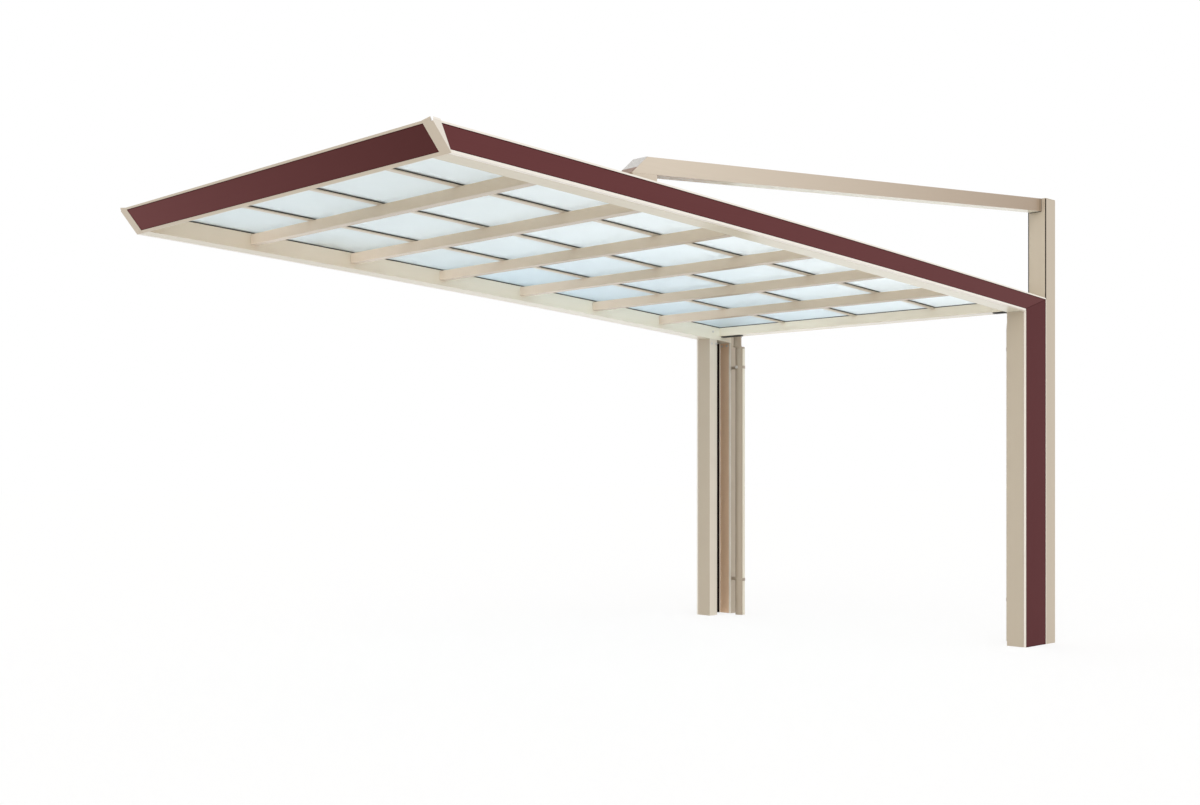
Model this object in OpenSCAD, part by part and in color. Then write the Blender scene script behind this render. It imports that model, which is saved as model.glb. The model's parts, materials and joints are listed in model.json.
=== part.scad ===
// Rear-post cantilever carport: one bay, flat translucent roof falling to the rear.
// Millimetres, +Z up, front towards -Y, +X to the right when seen from the front.
// The origin is the middle of the right-hand tall post's foot, on the ground.

/* [Overall] */
// Width over the outer faces of the side panels
width = 3000; // [2600:10:3400]
// Roof length, from the front reference line to the tall posts
roof_len = 5239; // [4700:1:5700]
// Height of the side panel's top edge at the front
front_h = 2716; // [2500:1:2900]
// Fall of the roof from front to rear
roof_drop = 335; // [250:1:400]
// Rise of the roof's gentle arch at mid length
camber = 16; // [0:1:30]
// Height of the tall posts
tall_h = 3082; // [2950:1:3300]

/* [Posts] */
// Tall post, size along the length
tall_d = 128; // [100:1:160]
// Tall post, size across the width
tall_w = 135; // [122:1:143]
// Edge rebate of the tall post, depth
groove = 5; // [3:1:8]
// Edge rebate of the tall post, width across its front face
groove_w = 7; // [4:1:10]
// Front post, size along the length
post_d = 91; // [70:1:120]
// Width of the panel that joins front and tall post
post_panel_w = 270; // [220:1:320]
// Thickness of the tall post's cap
cap_t = 5; // [3:1:10]

/* [Roof frame] */
// Inner face of the side beams, measured from the outer face
beam_in = 143; // [130:1:165]
// Depth of the side beams below the panel's top edge
beam_h = 119; // [112:1:135]
// Height of the coloured band
band_h = 106; // [90:1:110]
// Rail above the coloured band
rail_h = 9; // [6:1:20]
// Thickness of the outer panel frame
frame_t = 25; // [18:1:30]
// Depth of the panel's seat in its frame
seat_d = 6; // [4:1:8]
// Thickness of the coloured panel
panel_t = 4; // [2:1:4]
// Setback of the leaning front band from top to bottom
band_depth = 90; // [40:1:120]
// How far the front band's top edge stands ahead of the reference line
front_over = 35; // [20:1:60]
// Horizontal thickness of the front panel frame
front_t = 33; // [26:1:40]
// Width of the corner covers on the front
corner_w = 74; // [50:1:100]
// Length of the corner covers along the side, at the top
corner_side = 51; // [40:1:80]
// Width of the open notch between the rails at a front corner
notch_w = 13; // [8:1:18]

/* [Roof] */
// Place of the first rafter behind the reference line
first_s = 736; // [600:1:850]
// Size of a rafter along the length
rafter_w = 50; // [36:1:70]
// Depth of a rafter
rafter_h = 62; // [45:1:64]
// Level of the sheets' underside below the band's top edge
sheet_off = 11; // [8:1:14]
// Thickness of the roof sheets
sheet_t = 3; // [2:1:4]
// Width of a batten
batten_w = 40; // [30:1:50]
// Depth of a batten below the sheets
batten_h = 12; // [8:1:16]
// Size of the rear beam along the length
rear_d = 147; // [120:1:180]
// Size of the front beam along the length, at its underside
front_d = 78; // [50:1:110]

/* [Hanging beams] */
// Width of a hanging beam
hang_w = 86; // [60:1:92]
// Depth of a hanging beam
hang_h = 88; // [70:1:110]
// Height of a hanging beam's lower front edge above the roof line
nose_gap = 28; // [18:1:40]
// Offset of a hanging beam inwards from the middle of its post
hang_shift = 10; // [0:1:14]
// Place of the nose's top edge behind the reference line
nose_s = 1328; // [1250:1:1450]
// Length of the slanted nose
nose_len = 114; // [80:1:140]
// How far the saddle reaches behind the nose's top edge
saddle_past = 70; // [50:1:100]
// How far the saddle stays behind the nose's tip
saddle_back = 12; // [6:1:20]

/* [Drains] */
// Diameter of the downpipes
pipe_d = 78; // [60:1:84]
// Diameter of the outlet necks above them
outlet_d = 70; // [50:1:74]
// Wall of the downpipes and outlet necks
pipe_wall = 3; // [2:0.5:4]
// Height of the outlet necks
outlet_h = 88; // [60:1:110]
// Distance of the downpipes from the outer face
pipe_in = 250; // [225:1:300]
// Distance of the downpipes' middle ahead of the tall posts' front faces
pipe_ahead = 12; // [5:1:25]
// Distance of the outlets from the outer face
outlet_in = 241; // [225:1:280]
// Distance of the outlets' middle ahead of the tall posts' front faces
outlet_ahead = 34; // [32:1:45]
// Height of the lower clips above the ground
clip_low = 280; // [200:1:400]
// Drop of the upper clips below the rear beam
clip_drop = 267; // [200:1:320]

/* [Hidden] */
$fn = 48;
BEIGE = [0.74, 0.69, 0.61];
CREAM = [0.86, 0.83, 0.76];
WINE = [0.36, 0.22, 0.22];
GREY = [0.68, 0.66, 0.64];
PALE = [0.86, 0.92, 0.94];

// Straight pieces in the arch of the roof line
steps = 14;
step = roof_len / steps;
eps = 0.01;
// Lengthwise place of the origin behind the front reference line
origin_s = roof_len + tall_d / 2;
right_x = tall_w / 2;
left_x = right_x - width;
post_s = roof_len - post_panel_w;
// Horizontal run of the leaning front per millimetre of height
lean = band_depth / band_h;
// The same thickness measured level instead of square to the lean
level_run = sqrt(1 + lean * lean);
// Front frame: outer and back lines at the top, foot of the lip
front_top = -front_over - lean * rail_h;
lip_t = 6;
lip_s = front_s(beam_h) + lip_t;
lip_off = (lip_s - front_top - front_t) / lean - rail_h;
// Slanted rear edge of the corner covers on the side
corner_top = front_top + corner_side;
corner_toe = 2;
corner_bot = front_s(beam_h) + corner_toe;
// Width of the cream edge beside the post panel
edge_w = 3;
// Rear stile and thin web behind the post panel
stile_w = 18;
stile_web = 6;
rafter_off = sheet_off + batten_h;
front_end = lip_s + front_d;
rear_s = roof_len - rear_d;
rear_z = roof_z(rear_s) - rafter_off - rafter_h;
rafters = 6;
columns = 4;
bay = (rear_s - first_s) / rafters;
slot_gap = 0.5;
slot_off = sheet_off - sheet_t - slot_gap;
slot_d = 16;
slot_play = 2;
web_t = 6;
web_play = 1;
flange_t = 4;
clear_w = (width - 2 * beam_in - (columns - 1) * batten_w) / columns;
sheet_front = front_end - front_d / 2;
gutter_wall = 12;
gutter_floor = 22;
// Reach of the sheets over the rear beam, and over the gutter's edge
sheet_lap = 59;
drip = 20;
sheet_rear = rear_s + sheet_lap;
gutter_s = sheet_rear - drip;
hang_in = (tall_w - hang_w) / 2 + hang_shift;
nose_tip = nose_s - nose_len;
saddle_s = nose_tip + saddle_back;
saddle_end = nose_s + saddle_past;
pipe_s = roof_len - pipe_ahead;
outlet_s = roof_len - outlet_ahead;
clip_t = 24;
clip_w = 22;
clip_band = 3;
clip_play = 0.2;
// How far a cutting shape runs past the face that it cuts
past = 1;

// Height of the band's top edge at a place s behind the front line, straight between knots
function arch_z(s) = front_h - roof_drop * s / roof_len + 4 * camber * (s / roof_len) * (1 - s / roof_len);
function knot_at(s) = min(max(floor(s / step + eps / step), 0), steps - 1);
function between(s, k) = arch_z(k * step) + (arch_z((k + 1) * step) - arch_z(k * step)) * (s / step - k);
function roof_z(s) = between(s, knot_at(s));
// Places from s0 to s1 with every knot of the roof line in between
function places(s0, s1) = concat([s0],
  [for (i = [1 : steps - 1]) if (i * step > s0 + eps && i * step < s1 - eps) i * step], [s1]);
function reversed(list) = [for (i = [len(list) - 1 : -1 : 0]) list[i]];
// A run of points at one level below the roof line
function level(s0, s1, off) = [for (s = places(s0, s1)) [s, roof_z(s) - off]];
// Side view of a strip between two levels
function strip(s0, s1, top, low) = concat(level(s0, s1, top), reversed(level(s0, s1, low)));
// Side view of an upright strip from the ground to the side beam
function upright(s0, s1) = concat([[s0, 0]], level(s0, s1, beam_h), [[s1, 0]]);
// Front band's outer line at a level below the band's top edge
function front_s(off) = -front_over + lean * off;
function front_back(off) = front_top + front_t + lean * (off + rail_h);
function at(s, off) = [s, roof_z(s) - off];
// Underside and top of the hanging beam, straight from the nose to the tall post's head
function nose_z() = roof_z(nose_tip) + nose_gap;
function hang_rise() = (tall_h - hang_h - nose_z()) / (roof_len - nose_tip);
function hang_low(s) = nose_z() + hang_rise() * (s - nose_tip);
function hang_top(s) = hang_low(s) + hang_h;
// Mitre line from the band's lower inner corner to its upper rear corner
function mitre_z(s) = roof_z(post_s) - band_h
  + (roof_z(roof_len) - roof_z(post_s) + band_h) * (s - post_s) / post_panel_w;
// Slanted joint between corner cover and side frame
function corner_at(off) = corner_top + (corner_bot - corner_top) * (off + rail_h) / (beam_h + rail_h);
// Plan place of a depth measured inwards from one side's outer face
function side_x(side, depth) = side == "r" ? right_x - depth : left_x + depth;
function batten_x(i) = left_x + beam_in + i * (clear_w + batten_w) - batten_w / 2;

// Side view drawn between two plan places
module slab(x0, x1, points) {
  translate([min(x0, x1), -origin_s, 0])
    rotate([90, 0, 90])
      linear_extrude(height = abs(x1 - x0))
        polygon(points);
}

// Side view drawn between two depths of one side
module side_slab(side, d0, d1, points) {
  slab(side_x(side, d0), side_x(side, d1), points);
}

// Plan view of one side (place, depth) drawn from z0 to z1
module side_plan(side, z0, z1, points) {
  translate([0, 0, z0])
    linear_extrude(height = z1 - z0)
      polygon([for (p = points) [side_x(side, p[1]), p[0] - origin_s]]);
}

module box_at(side, s0, s1, d0, d1, z0, z1) {
  side_plan(side, z0, z1, [[s0, d0], [s1, d0], [s1, d1], [s0, d1]]);
}

// Upright round between two heights
module rod(side, depth, s, d, z0, z1) {
  translate([side_x(side, depth), s - origin_s, z0])
    cylinder(d = d, h = z1 - z0);
}

module front_post(side) {
  color(BEIGE)
    side_slab(side, frame_t, beam_in, upright(post_s, post_s + post_d));
}

// Tall post with a rebate down both edges of its front face
module tall_post(side) {
  s0 = roof_len;
  s1 = roof_len + tall_d;
  color(BEIGE)
    side_plan(side, 0, tall_h - cap_t, [
      [s0 + groove, 0], [s0 + groove, groove_w], [s0, groove_w], [s0, tall_w - groove_w],
      [s0 + groove, tall_w - groove_w], [s0 + groove, tall_w], [s1, tall_w], [s1, 0]
    ]);
}

module tall_cap(side) {
  color(BEIGE)
    box_at(side, roof_len, roof_len + tall_d, 0, tall_w, tall_h - cap_t, tall_h);
}

// Frame of the post panel: front stile with its edge, thin web and rear stile
module post_frame(side) {
  color(CREAM)
    union() {
      side_slab(side, 0, frame_t, upright(post_s, post_s + edge_w));
      side_slab(side, seat_d, frame_t, upright(post_s, post_s + post_d));
      side_slab(side, seat_d, seat_d + stile_web, upright(post_s, roof_len));
      side_slab(side, seat_d, frame_t, upright(roof_len - stile_w, roof_len));
    }
}

// Coloured post panel: its head is mitred against the side panel
module post_panel(side) {
  s0 = post_s + edge_w;
  color(WINE)
    side_slab(side, seat_d - panel_t, seat_d,
      [[s0, 0], [s0, mitre_z(s0)], [roof_len, mitre_z(roof_len)], [roof_len, 0]]);
}

module side_panel(side) {
  color(WINE)
    side_slab(side, seat_d - panel_t, seat_d,
      concat(level(corner_at(0), roof_len, 0), reversed(level(corner_at(band_h), post_s, band_h))));
}

// Outer channel of a side: rail, back plate and bottom lip
module side_frame(side) {
  color(CREAM)
    union() {
      side_slab(side, seat_d, frame_t,
        concat(level(corner_at(-rail_h), roof_len, -rail_h),
          reversed(level(corner_at(beam_h), roof_len, beam_h))));
      side_slab(side, 0, seat_d,
        concat(level(corner_at(-rail_h), roof_len, -rail_h),
          reversed(level(corner_at(0), roof_len, 0))));
      side_slab(side, 0, seat_d,
        concat(level(corner_at(band_h), post_s, band_h),
          reversed(level(corner_at(beam_h), post_s, beam_h))));
    }
}

// Side beam with a slot for the sheets in its inner face
module side_beam(side) {
  color(BEIGE)
    difference() {
      side_slab(side, frame_t, beam_in, concat(
        level(front_back(0), roof_len, 0), reversed(level(lip_s, roof_len, beam_h)), [at(lip_s, lip_off)]));
      side_slab(side, beam_in - slot_d, beam_in + past,
        strip(sheet_front - slot_play, sheet_rear + slot_play, slot_off, sheet_off));
    }
}

module front_beam() {
  color(BEIGE)
    slab(side_x("l", beam_in), side_x("r", beam_in), [
      at(front_back(sheet_off), sheet_off), at(front_end, sheet_off),
      at(front_end, lip_off), at(lip_s, lip_off)
    ]);
}

// Leaning front frame with a seat for the coloured panel
module front_frame() {
  dx = seat_d * level_run;
  color(CREAM)
    slab(side_x("l", corner_w), side_x("r", corner_w), [
      at(front_top, -rail_h), at(front_s(0), 0), at(front_s(0) + dx, 0),
      at(front_s(band_h) + dx, band_h), at(front_s(band_h), band_h), at(front_s(beam_h), beam_h),
      at(lip_s, beam_h), at(lip_s, lip_off), at(front_top + front_t, -rail_h)
    ]);
}

module front_panel() {
  dx = seat_d * level_run;
  dp = panel_t * level_run;
  color(WINE)
    slab(side_x("l", corner_w), side_x("r", corner_w), [
      at(front_s(0) + dx - dp, 0), at(front_s(0) + dx, 0),
      at(front_s(band_h) + dx, band_h), at(front_s(band_h) + dx - dp, band_h)
    ]);
}

// Corner cover: wraps the end of the front band round on to the side, with a notch between the rails
module corner_cover(side) {
  reach = front_t + corner_side;
  half = notch_w / sqrt(2);
  color(BEIGE)
    difference() {
      union() {
        side_slab(side, frame_t, corner_w, [
          at(front_top, -rail_h), at(front_s(beam_h), beam_h), at(lip_s, beam_h), at(lip_s, lip_off),
          at(front_top + front_t, -rail_h)
        ]);
        side_slab(side, 0, frame_t, [
          at(front_top, -rail_h), at(front_s(beam_h), beam_h), at(corner_bot, beam_h),
          at(corner_top, -rail_h)
        ]);
      }
      side_plan(side, roof_z(front_s(0)), roof_z(front_top) + rail_h + past, [
        [front_top - half - past, -past], [front_top - past, -half - past],
        [front_top + reach, reach - half], [front_top + reach - half, reach]
      ]);
    }
}

// Rear beam with the gutter trough in its top
module rear_beam() {
  trough = rear_z + gutter_floor;
  top = roof_z(roof_len) - sheet_off;
  color(BEIGE)
    slab(side_x("l", beam_in), side_x("r", beam_in), [
      [rear_s, rear_z], [rear_s, roof_z(rear_s) - sheet_off],
      [gutter_s, roof_z(gutter_s) - sheet_off], [gutter_s, trough],
      [roof_len - gutter_wall, trough], [roof_len - gutter_wall, top], [roof_len, top], [roof_len, rear_z]
    ]);
}

module rafter(i) {
  s0 = first_s + (i - 1) * bay;
  color(BEIGE)
    slab(side_x("l", beam_in), side_x("r", beam_in),
      strip(s0, s0 + rafter_w, rafter_off, rafter_off + rafter_h));
}

// Batten: flange under the sheets, web between them and cover strip above
module batten(i) {
  x = batten_x(i);
  color(CREAM)
    union() {
      slab(x - batten_w / 2, x + batten_w / 2, strip(front_end, rear_s, sheet_off, rafter_off));
      slab(x - web_t / 2, x + web_t / 2, strip(sheet_front, gutter_s, slot_off, sheet_off));
      slab(x - batten_w / 2, x + batten_w / 2,
        strip(sheet_front, gutter_s, slot_off - flange_t, slot_off));
    }
}

module sheet(i) {
  edge = slot_d - slot_play;
  x0 = i == 1 ? left_x + beam_in - edge : batten_x(i - 1) + web_t / 2 + web_play;
  x1 = i == columns ? right_x - beam_in + edge : batten_x(i) - web_t / 2 - web_play;
  color(PALE)
    slab(x0, x1, strip(sheet_front, sheet_rear, sheet_off - sheet_t, sheet_off));
}

module hanging_beam(side) {
  color(BEIGE)
    side_slab(side, hang_in, hang_in + hang_w, [
      [nose_s, hang_top(nose_s)], [roof_len, hang_top(roof_len)],
      [roof_len, hang_low(roof_len)], [nose_tip, hang_low(nose_tip)]
    ]);
}

// Foot of the hanging beam on the side beam
module saddle(side) {
  color(GREY)
    side_slab(side, hang_in, hang_in + hang_w, concat(
      level(saddle_s, saddle_end, 0),
      [[saddle_end, hang_low(saddle_end)], [saddle_s, hang_low(saddle_s)]]));
}

// Hollow downpipe, set back from the narrower outlet neck that feeds it from the gutter
module downpipe(side) {
  neck = rear_z - outlet_h;
  color(CREAM)
    difference() {
      union() {
        rod(side, pipe_in, pipe_s, pipe_d, 0, neck);
        rod(side, outlet_in, outlet_s, outlet_d, neck - past, rear_z);
      }
      rod(side, pipe_in, pipe_s, pipe_d - 2 * pipe_wall, -past, neck - pipe_wall);
      intersection() {
        rod(side, outlet_in, outlet_s, outlet_d - 2 * pipe_wall, neck - pipe_wall - past, neck + past);
        rod(side, pipe_in, pipe_s, pipe_d - 2 * pipe_wall, neck - pipe_wall - past, neck + past);
      }
      rod(side, outlet_in, outlet_s, outlet_d - 2 * pipe_wall, neck + past / 2, rear_z + past);
    }
}

// Two clips that reach from the tall post's inner face round the downpipe
module pipe_clips(side) {
  s0 = roof_len + 2 * groove;
  s1 = s0 + clip_w;
  color(GREY)
    for (z = [clip_low, rear_z - clip_drop])
      difference() {
        union() {
          box_at(side, s0, s1, tall_w, pipe_in, z, z + clip_t);
          rod(side, pipe_in, pipe_s, pipe_d + 2 * clip_band, z, z + clip_t);
        }
        rod(side, pipe_in, pipe_s, pipe_d + 2 * clip_play, z - past, z + clip_t + past);
      }
}

front_post("r");  // front_post_r
front_post("l");  // front_post_l
tall_post("r");  // tall_post_r
tall_post("l");  // tall_post_l
tall_cap("r");  // tall_cap_r
tall_cap("l");  // tall_cap_l
post_frame("r");  // post_frame_r
post_frame("l");  // post_frame_l
post_panel("r");  // post_panel_r
post_panel("l");  // post_panel_l
side_beam("r");  // side_beam_r
side_beam("l");  // side_beam_l
side_frame("r");  // side_frame_r
side_frame("l");  // side_frame_l
side_panel("r");  // side_panel_r
side_panel("l");  // side_panel_l
front_beam();
front_frame();
front_panel();
corner_cover("r");  // corner_cover_r
corner_cover("l");  // corner_cover_l
rear_beam();
rafter(1);  // rafter_1
rafter(2);  // rafter_2
rafter(3);  // rafter_3
rafter(4);  // rafter_4
rafter(5);  // rafter_5
rafter(6);  // rafter_6
batten(1);  // batten_1
batten(2);  // batten_2
batten(3);  // batten_3
sheet(1);  // sheet_1
sheet(2);  // sheet_2
sheet(3);  // sheet_3
sheet(4);  // sheet_4
hanging_beam("r");  // hanging_beam_r
hanging_beam("l");  // hanging_beam_l
saddle("r");  // saddle_r
saddle("l");  // saddle_l
downpipe("r");  // downpipe_r
downpipe("l");  // downpipe_l
pipe_clips("r");  // pipe_clips_r
pipe_clips("l");  // pipe_clips_l
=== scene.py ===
"""Dresses a rear-post carport: finishes, seals, fixings, studio light and the camera."""

import json
import logging
import math
from dataclasses import dataclass, field
from enum import Enum
from typing import ClassVar

import bmesh
import bpy
from mathutils import Matrix, Vector

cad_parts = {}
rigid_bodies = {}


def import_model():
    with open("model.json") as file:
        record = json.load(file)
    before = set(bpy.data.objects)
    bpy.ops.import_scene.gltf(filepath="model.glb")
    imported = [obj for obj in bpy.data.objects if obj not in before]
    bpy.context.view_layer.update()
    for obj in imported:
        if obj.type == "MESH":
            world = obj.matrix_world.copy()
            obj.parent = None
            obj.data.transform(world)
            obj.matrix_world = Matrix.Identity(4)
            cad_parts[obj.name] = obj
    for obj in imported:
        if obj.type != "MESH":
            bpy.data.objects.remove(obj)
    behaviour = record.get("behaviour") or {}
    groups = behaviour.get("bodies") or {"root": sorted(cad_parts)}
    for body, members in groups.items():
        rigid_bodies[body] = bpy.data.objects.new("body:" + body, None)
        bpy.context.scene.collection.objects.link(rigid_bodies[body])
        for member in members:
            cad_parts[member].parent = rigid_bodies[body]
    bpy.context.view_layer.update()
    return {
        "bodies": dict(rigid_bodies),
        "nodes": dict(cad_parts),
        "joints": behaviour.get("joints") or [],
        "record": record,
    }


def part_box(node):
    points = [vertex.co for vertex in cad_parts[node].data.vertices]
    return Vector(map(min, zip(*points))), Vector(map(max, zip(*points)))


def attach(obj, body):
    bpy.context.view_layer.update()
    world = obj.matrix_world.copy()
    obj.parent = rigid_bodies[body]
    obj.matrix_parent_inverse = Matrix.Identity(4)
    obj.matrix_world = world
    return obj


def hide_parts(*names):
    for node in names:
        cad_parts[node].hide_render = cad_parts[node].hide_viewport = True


LOG = logging.getLogger("carport")
BODY = "root"
BATTENS = (1, 2, 3)
RAFTERS = (1, 2, 3, 4, 5, 6)
# Tolerances in metres for places that are read off a mesh
TIGHT = 1e-4
LOOSE = 1e-3
Triple = tuple[float, float, float]
Colour = Triple
Box = tuple[Vector, Vector]


class Run(Enum):
    """Direction in which a profile was drawn, as stretch factors for its draw lines."""

    ACROSS = (0.4, 420.0, 420.0)
    LENGTH = (420.0, 0.4, 420.0)
    UPRIGHT = (420.0, 420.0, 0.4)


class Side(Enum):
    """One side of the carport."""

    RIGHT = "r"
    LEFT = "l"

    @property
    def out(self) -> float:
        """Sign of the outward direction along X."""
        return 1.0 if self is Side.RIGHT else -1.0

    def node(self, stem: str) -> str:
        """Name of this side's CAD node."""
        return f"{stem}_{self.value}"

    def outer(self, box: Box) -> float:
        """Place across of a box's outer face."""
        return box[1].x if self is Side.RIGHT else box[0].x

    def inner(self, box: Box) -> float:
        """Place across of a box's inner face."""
        return box[0].x if self is Side.RIGHT else box[1].x


class NodeGraph:
    """Shorthand for building a shader tree."""

    MIX_A, MIX_B, MIX_RESULT = 6, 7, 2

    def __init__(self, tree: bpy.types.NodeTree) -> None:
        """Start on an empty tree.

        Args:
            tree: The node tree of a material, world or group.
        """
        self.tree = tree
        self.tree.nodes.clear()

    def add(self, kind: str, **settings: object) -> bpy.types.Node:
        """Add a node and set its plain properties.

        Args:
            kind: The node's type name.
            **settings: Attributes of the node.

        Returns:
            The new node.
        """
        node = self.tree.nodes.new(kind)
        for key, value in settings.items():
            setattr(node, key, value)
        return node

    def join(self, out: bpy.types.NodeSocket, into: bpy.types.NodeSocket) -> None:
        """Link two sockets."""
        self.tree.links.new(out, into)

    def noise(self, vector: bpy.types.NodeSocket, scale: float, detail: float) -> bpy.types.NodeSocket:
        """Add a noise texture.

        Args:
            vector: Where the noise is read.
            scale: Size of the pattern, in cycles per metre.
            detail: Number of finer layers.

        Returns:
            The noise value, around a half.
        """
        node = self.add("ShaderNodeTexNoise")
        node.inputs["Scale"].default_value = scale
        node.inputs["Detail"].default_value = detail
        self.join(vector, node.inputs["Vector"])
        return node.outputs[0]

    def math(self, operation: str, a: object, b: object, clamp: bool = False) -> bpy.types.NodeSocket:
        """Add a Math node.

        Args:
            operation: Name of the operation.
            a: First socket or number.
            b: Second socket or number.
            clamp: Whether the result stays between 0 and 1.

        Returns:
            The result.
        """
        node = self.add("ShaderNodeMath", operation=operation, use_clamp=clamp)
        for value, socket in zip((a, b), node.inputs):
            if isinstance(value, (int, float)):
                socket.default_value = value
            else:
                self.join(value, socket)
        return node.outputs[0]

    def span(self, value: bpy.types.NodeSocket, source: tuple[float, float], low: object,
             high: object) -> bpy.types.NodeSocket:
        """Map a value from one range to another.

        Args:
            value: The value to map.
            source: Its own low and high end.
            low: Number or socket at the low end.
            high: Number or socket at the high end.

        Returns:
            The mapped value.
        """
        node = self.add("ShaderNodeMapRange")
        node.inputs["From Min"].default_value = source[0]
        node.inputs["From Max"].default_value = source[1]
        for end, name in ((low, "To Min"), (high, "To Max")):
            if isinstance(end, (int, float)):
                node.inputs[name].default_value = end
            else:
                self.join(end, node.inputs[name])
        self.join(value, node.inputs["Value"])
        return node.outputs[0]

    def blend(self, factor: bpy.types.NodeSocket, a: bpy.types.NodeSocket,
              b: bpy.types.NodeSocket) -> bpy.types.NodeSocket:
        """Blend two colours.

        Args:
            factor: 0 gives the first colour and 1 the second.
            a: First colour.
            b: Second colour.

        Returns:
            The blended colour.
        """
        node = self.add("ShaderNodeMix", data_type="RGBA")
        self.join(factor, node.inputs[0])
        self.join(a, node.inputs[self.MIX_A])
        self.join(b, node.inputs[self.MIX_B])
        return node.outputs[self.MIX_RESULT]


class Effects:
    """Shader groups that several finishes share."""

    PROFILE = "drawn_profile"
    FROST = "frosted_pane"
    SPECKLE = "fine_speckle"
    LINE_SHARE, MOTTLE_SHARE = 0.75, 0.25
    LINE_RELIEF, GRAIN_RELIEF = 0.9, 0.1
    MOTTLE_SCALE, GRAIN_SCALE = 0.9, 700.0
    DUST_TOP, DUST_SHARE = 0.22, 0.45
    # Pane tones: the bluer one to the left and rear is painted in for the grazing-view look; the grey one
    # darkens the front rows
    COOL_ASIDE, COOL_REAR = (-2.9, -0.5), (-3.8, -2.7)
    COOL_LEAST, COOL_MOST = 0.25, 0.74
    GREY_FRONT, GREY_MOST = (-4.7, -2.9), 0.50
    CLOUD_SCALE, CLOUD_DRIFT, PEBBLE_SCALE = 1.1, 0.05, 260.0
    PATCH_SCALE, FINE_SCALE = 90.0, 1400.0
    NOISE_RANGE, PATCH_RANGE = (0.3, 0.7), (0.35, 0.65)
    COLOUR, NUMBER, VECTOR = "NodeSocketColor", "NodeSocketFloat", "NodeSocketVector"
    SURFACE = {"Colour": COLOUR, "Roughness": NUMBER, "Height": NUMBER}
    BASIC = {"Vector": VECTOR, "Colour": COLOUR, "Shade": COLOUR, "Smooth": NUMBER, "Rough": NUMBER}

    @classmethod
    def _open(cls, name: str, inputs: dict[str, str]) -> tuple[NodeGraph, dict, dict]:
        """Make an empty group with its sockets; every group puts out colour, roughness and height.

        Args:
            name: Name of the group.
            inputs: Socket types of its inputs by name.

        Returns:
            The graph, its input sockets and its output sockets.
        """
        tree = bpy.data.node_groups.new(name, "ShaderNodeTree")
        graph = NodeGraph(tree)
        for way, sockets in (("INPUT", inputs), ("OUTPUT", cls.SURFACE)):
            for label, kind in sockets.items():
                tree.interface.new_socket(name=label, in_out=way, socket_type=kind)
        entry = graph.add("NodeGroupInput")
        leave = graph.add("NodeGroupOutput")
        return graph, entry.outputs, leave.inputs

    @classmethod
    def profile(cls) -> bpy.types.NodeTree:
        """Painted profile: faint draw lines, mottling, dust near the ground, and a painted light-and-shade
        tone that grows towards one end.

        Returns:
            The shader group.
        """
        if cls.PROFILE in bpy.data.node_groups:
            return bpy.data.node_groups[cls.PROFILE]
        graph, given, out = cls._open(cls.PROFILE, {
            **cls.BASIC, "Stretch": cls.VECTOR, "Deep": cls.COLOUR, "Slope": cls.VECTOR,
            "Start": cls.NUMBER})
        stretch = graph.add("ShaderNodeVectorMath", operation="MULTIPLY")
        graph.join(given["Vector"], stretch.inputs[0])
        graph.join(given["Stretch"], stretch.inputs[1])
        lines = graph.noise(stretch.outputs[0], 1.0, detail=2.0)
        mottle = graph.noise(given["Vector"], cls.MOTTLE_SCALE, detail=0.0)
        grain = graph.noise(given["Vector"], cls.GRAIN_SCALE, detail=1.0)
        split = graph.add("ShaderNodeSeparateXYZ")
        graph.join(given["Vector"], split.inputs[0])
        dust = graph.span(split.outputs["Z"], (0.0, cls.DUST_TOP), cls.DUST_SHARE, 0.0)
        tone = graph.math("ADD", graph.math("MULTIPLY", lines, cls.LINE_SHARE),
                          graph.math("MULTIPLY", mottle, cls.MOTTLE_SHARE))
        tone = graph.span(tone, cls.NOISE_RANGE, 0.0, 1.0)
        tone = graph.math("ADD", tone, graph.math("MULTIPLY", dust, mottle), clamp=True)
        paint = graph.blend(tone, given["Colour"], given["Shade"])
        # Painted light and shade: blend towards the Deep tone along Slope, for light that falls off along
        # the part
        along = graph.add("ShaderNodeVectorMath", operation="DOT_PRODUCT")
        graph.join(given["Vector"], along.inputs[0])
        graph.join(given["Slope"], along.inputs[1])
        fade = graph.math("ADD", along.outputs["Value"], given["Start"], clamp=True)
        graph.join(graph.blend(fade, paint, given["Deep"]), out["Colour"])
        rough = graph.span(mottle, cls.NOISE_RANGE, given["Smooth"], given["Rough"])
        graph.join(rough, out["Roughness"])
        height = graph.math("ADD", graph.math("MULTIPLY", lines, cls.LINE_RELIEF),
                            graph.math("MULTIPLY", grain, cls.GRAIN_RELIEF))
        graph.join(height, out["Height"])
        return graph.tree

    @classmethod
    def frost(cls) -> bpy.types.NodeTree:
        """Frosted pane: a bluer tone to the left and rear, painted in for the bluer look of the sheets at
        grazing view, a greyer one at the front, a fine pebbled face.

        Returns:
            The shader group.
        """
        if cls.FROST in bpy.data.node_groups:
            return bpy.data.node_groups[cls.FROST]
        graph, given, out = cls._open(cls.FROST, {**cls.BASIC, "Deep": cls.COLOUR})
        split = graph.add("ShaderNodeSeparateXYZ")
        graph.join(given["Vector"], split.inputs[0])
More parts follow.
